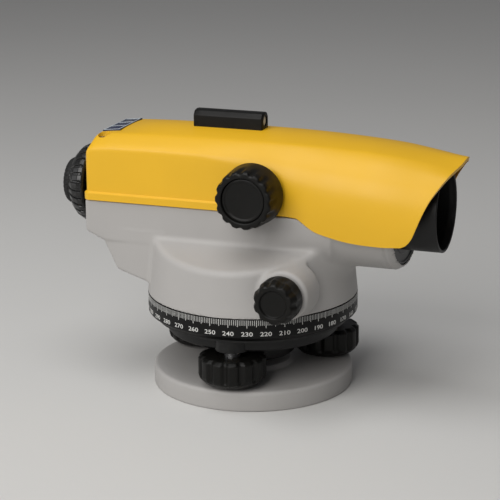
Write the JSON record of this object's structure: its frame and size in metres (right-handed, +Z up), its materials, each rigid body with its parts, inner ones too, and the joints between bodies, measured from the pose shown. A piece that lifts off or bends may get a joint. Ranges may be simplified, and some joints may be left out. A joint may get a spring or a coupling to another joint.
{
  "type": "automatic level",
  "caption": "Surveyor's automatic level: telescope with hood, compensator and focusing knob on a horizontal circle, levelled by foot screws on a round foot plate.",
  "frame": {"origin": "centre of the tripod screw's hole at the foot plate's underside, on the vertical axis", "axes": "+Z up along the vertical axis, +X along the line of sight towards the objective, -Y towards the focusing knob"},
  "size_m": [0.206, 0.1238, 0.1375],
  "materials": {
    "grey_paint": "painted, satin, fine orange peel",
    "yellow_paint": "painted, satin, smooth",
    "black_plastic": "matte moulded",
    "black_rubber": "matte",
    "black_metal": "anodised, satin black",
    "circle_black": "painted, satin, white graduation",
    "steel": "turned",
    "brass": "machined",
    "bronze": "machined",
    "aluminium": "anodised",
    "glass": "polished",
    "vial_glass": "polished",
    "mirror": "polished",
    "label": "printed foil"
  },
  "bodies": {
    "base": {"foot_plate": "grey_paint", "tripod_thread_bush": "brass", "ball_retainers": "grey_paint", "rear_ball_seats": "steel"},
    "levelling_cradle": {"front_ball_seat": "steel"},
    "tribrach": {"tribrach": "black_metal", "foot_screw_bushes": "brass", "vertical_spindle": "steel", "thrust_balls": "steel", "clutch_ring": "bronze"},
    "spindle_front": {"spindle_front": "steel"},
    "spindle_right": {"spindle_right": "steel"},
    "spindle_left": {"spindle_left": "steel"},
    "foot_knob_front": {"foot_knob_front": "black_plastic"},
    "foot_knob_right": {"foot_knob_right": "black_plastic"},
    "foot_knob_left": {"foot_knob_left": "black_plastic"},
    "circle": {"degree_circle": "circle_black"},
    "worm_wheel": {"worm_wheel": "brass"},
    "worm": {"worm_shaft": "steel", "fine_knob_near": "black_plastic", "fine_knob_far": "black_plastic"},
    "alidade": {"lower_housing": "grey_paint", "vertical_bush": "bronze", "worm_bearings": "bronze", "upper_cover": "yellow_paint", "cover_gasket": "black_rubber", "cover_screws": "steel", "label_plate": "label", "peep_sight_body": "black_plastic", "peep_sight_lens": "glass", "objective_bezel": "black_metal", "sunshade_tube": "black_metal", "objective_cell": "black_metal", "objective_lens": "glass", "guide_rods": "steel", "focus_bush": "aluminium", "compensator_frame": "aluminium", "fixed_prism": "glass", "suspension_wires": "steel", "damper_magnets": "steel", "reticle_holder": "black_metal", "reticle_glass": "glass", "reticle_screws": "steel", "eyepiece_mount": "black_metal", "level_housing": "black_metal", "level_vial": "vial_glass", "level_adjusting_screws": "steel", "mirror_bracket": "black_plastic"},
    "focus_drive": {"focus_shaft": "steel", "focus_knob": "black_plastic", "focus_knob_cap": "black_plastic"},
    "focus_carriage": {"focus_carriage": "aluminium", "focus_lens": "glass"},
    "pendulum": {"pendulum": "aluminium", "pendulum_prism": "glass"},
    "eyepiece_cell": {"eyepiece_cell": "black_metal", "eyepiece_lenses": "glass"},
    "eyepiece_ring": {"eyepiece_ring": "black_plastic", "eyecup": "black_rubber"},
    "bubble_mirror": {"bubble_mirror": "mirror"}
  },
  "joints": [
    {"name": "level_roll", "type": "hinge", "parent": "base", "child": "levelling_cradle", "pos_m": [0.00302, -0.03838, 0.007], "axis": [-0.0785, 0.9969, 0], "range_deg": [-2, 2]},
    {"name": "level_pitch", "type": "hinge", "parent": "levelling_cradle", "child": "tribrach", "pos_m": [-0.00151, 0.01919, 0.007], "axis": [0.9969, 0.0785, 0], "range_deg": [-2, 2]},
    {"name": "spindle_front_slide", "type": "slide", "parent": "tribrach", "child": "spindle_front", "axis": [0, 0, 1], "range_m": [-0.0022, 0.0022]},
    {"name": "spindle_right_slide", "type": "slide", "parent": "tribrach", "child": "spindle_right", "axis": [0, 0, 1], "range_m": [-0.0013, 0.0013]},
    {"name": "spindle_left_slide", "type": "slide", "parent": "tribrach", "child": "spindle_left", "axis": [0, 0, 1], "range_m": [-0.0013, 0.0013]},
    {"name": "foot_knob_front_spin", "type": "hinge", "parent": "spindle_front", "child": "foot_knob_front", "pos_m": [0.00302, -0.03838, 0.02], "axis": [0, 0, 1], "range_deg": [-1000, 1000]},
    {"name": "foot_knob_right_spin", "type": "hinge", "parent": "spindle_right", "child": "foot_knob_right", "pos_m": [0.03173, 0.02181, 0.02], "axis": [0, 0, 1], "range_deg": [-600, 600]},
    {"name": "foot_knob_left_spin", "type": "hinge", "parent": "spindle_left", "child": "foot_knob_left", "pos_m": [-0.03475, 0.01657, 0.02], "axis": [0, 0, 1], "range_deg": [-600, 600]},
    {"name": "circle_turn", "type": "hinge", "parent": "tribrach", "child": "circle", "pos_m": [0, 0, 0.042], "axis": [0, 0, 1], "continuous": true},
    {"name": "azimuth_swing", "type": "hinge", "parent": "tribrach", "child": "worm_wheel", "pos_m": [0, 0, 0.06], "axis": [0, 0, 1], "continuous": true},
    {"name": "slow_motion", "type": "hinge", "parent": "worm_wheel", "child": "alidade", "pos_m": [0, 0, 0.06], "axis": [0, 0, 1], "continuous": true},
    {"name": "fine_knob_spin", "type": "hinge", "parent": "alidade", "child": "worm", "pos_m": [0.032, 0, 0.06], "axis": [0, 1, 0], "continuous": true},
    {"name": "focus_knob_spin", "type": "hinge", "parent": "alidade", "child": "focus_drive", "pos_m": [0.012, 0, 0.1045], "axis": [0, 1, 0], "range_deg": [-170, 170]},
    {"name": "focus_slide", "type": "slide", "parent": "alidade", "child": "focus_carriage", "axis": [1, 0, 0], "range_m": [-0.0075, 0.0075]},
    {"name": "compensator_swing", "type": "hinge", "parent": "alidade", "child": "pendulum", "pos_m": [-0.022, 0, 0.113], "axis": [0, 1, 0], "range_deg": [-0.25, 0.25]},
    {"name": "eyepiece_slide", "type": "slide", "parent": "alidade", "child": "eyepiece_cell", "axis": [1, 0, 0], "range_m": [-0.00112, 0.00112]},
    {"name": "dioptre_spin", "type": "hinge", "parent": "eyepiece_cell", "child": "eyepiece_ring", "pos_m": [-0.09, 0, 0.0958], "axis": [1, 0, 0], "range_deg": [-140, 140]},
    {"name": "mirror_fold", "type": "hinge", "parent": "alidade", "child": "bubble_mirror", "pos_m": [0, 0.0315, 0.0885], "axis": [1, 0, 0], "range_deg": [-35, 38]}
  ],
  "couplings": [
    {"joint": "spindle_front_slide", "follows": "level_pitch", "m_per_rad": 0.05775},
    {"joint": "foot_knob_front_spin", "follows": "level_pitch", "ratio": 483.81},
    {"joint": "spindle_right_slide", "follows": "level_roll", "m_per_rad": 0.033342},
    {"joint": "spindle_left_slide", "follows": "level_roll", "m_per_rad": -0.033342},
    {"joint": "foot_knob_right_spin", "follows": "level_roll", "ratio": 279.32},
    {"joint": "foot_knob_left_spin", "follows": "level_roll", "ratio": -279.32},
    {"joint": "fine_knob_spin", "follows": "slow_motion", "ratio": 120},
    {"joint": "focus_slide", "follows": "focus_knob_spin", "m_per_rad": -0.0025},
    {"joint": "dioptre_spin", "follows": "eyepiece_slide", "rad_per_m": 2094.4}
  ]
}
